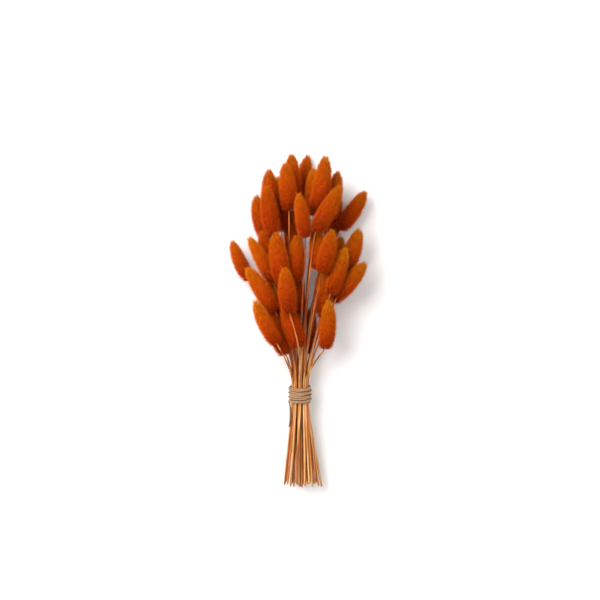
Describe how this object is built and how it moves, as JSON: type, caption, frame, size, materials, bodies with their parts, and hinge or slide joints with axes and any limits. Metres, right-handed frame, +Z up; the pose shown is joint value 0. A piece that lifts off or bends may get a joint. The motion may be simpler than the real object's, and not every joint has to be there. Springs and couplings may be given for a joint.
{
  "type": "dried bunny tail grass bunch",
  "caption": "Bunch of orange-dyed dried bunny tail grass, soft egg-shaped heads on thin stalks bound with wound jute twine, lying on its side.",
  "frame": {"origin": "on the surface the bunch lies on, under the middle of its box", "axes": "+Y along the bunch from the cut ends to the heads, +Z up from the surface, +X to the right with the heads pointing up the page"},
  "size_m": [0.164, 0.402, 0.09],
  "materials": {
    "dyed_bristle": "soft dyed bristles, matt",
    "dry_stalk": "dry straw stalk, slight sheen",
    "jute_twine": "natural twisted jute, matt"
  },
  "bodies": {
    "root": {"head_top_01": "dyed_bristle", "head_top_02": "dyed_bristle", "head_top_03": "dyed_bristle", "head_top_04": "dyed_bristle", "head_top_05": "dyed_bristle", "head_top_06": "dyed_bristle", "head_top_07": "dyed_bristle", "head_top_08": "dyed_bristle", "head_top_09": "dyed_bristle", "head_top_10": "dyed_bristle", "head_top_11": "dyed_bristle", "head_top_12": "dyed_bristle", "head_top_13": "dyed_bristle", "head_top_14": "dyed_bristle", "head_middle_01": "dyed_bristle", "head_middle_02": "dyed_bristle", "head_middle_03": "dyed_bristle", "head_middle_04": "dyed_bristle", "head_middle_05": "dyed_bristle", "head_middle_06": "dyed_bristle", "head_middle_07": "dyed_bristle", "head_middle_08": "dyed_bristle", "head_middle_09": "dyed_bristle", "head_middle_10": "dyed_bristle", "head_middle_11": "dyed_bristle", "head_middle_12": "dyed_bristle", "head_low_01": "dyed_bristle", "head_low_02": "dyed_bristle", "head_low_03": "dyed_bristle", "head_low_04": "dyed_bristle", "head_low_05": "dyed_bristle", "head_low_06": "dyed_bristle", "head_low_07": "dyed_bristle", "head_low_08": "dyed_bristle", "head_low_09": "dyed_bristle", "head_low_10": "dyed_bristle", "head_under_01": "dyed_bristle", "head_under_02": "dyed_bristle", "head_under_03": "dyed_bristle", "stems_01": "dry_stalk", "stems_02": "dry_stalk", "stems_03": "dry_stalk", "stems_04": "dry_stalk", "stems_05": "dry_stalk", "stems_06": "dry_stalk", "stems_07": "dry_stalk", "stems_08": "dry_stalk", "stems_09": "dry_stalk", "stems_10": "dry_stalk", "stems_11": "dry_stalk", "stems_12": "dry_stalk", "stems_13": "dry_stalk", "stems_14": "dry_stalk", "stems_15": "dry_stalk", "stems_16": "dry_stalk", "stems_17": "dry_stalk", "stems_18": "dry_stalk", "stems_19": "dry_stalk", "stems_20": "dry_stalk", "twine_tie": "jute_twine"}
  },
  "joints": []
}
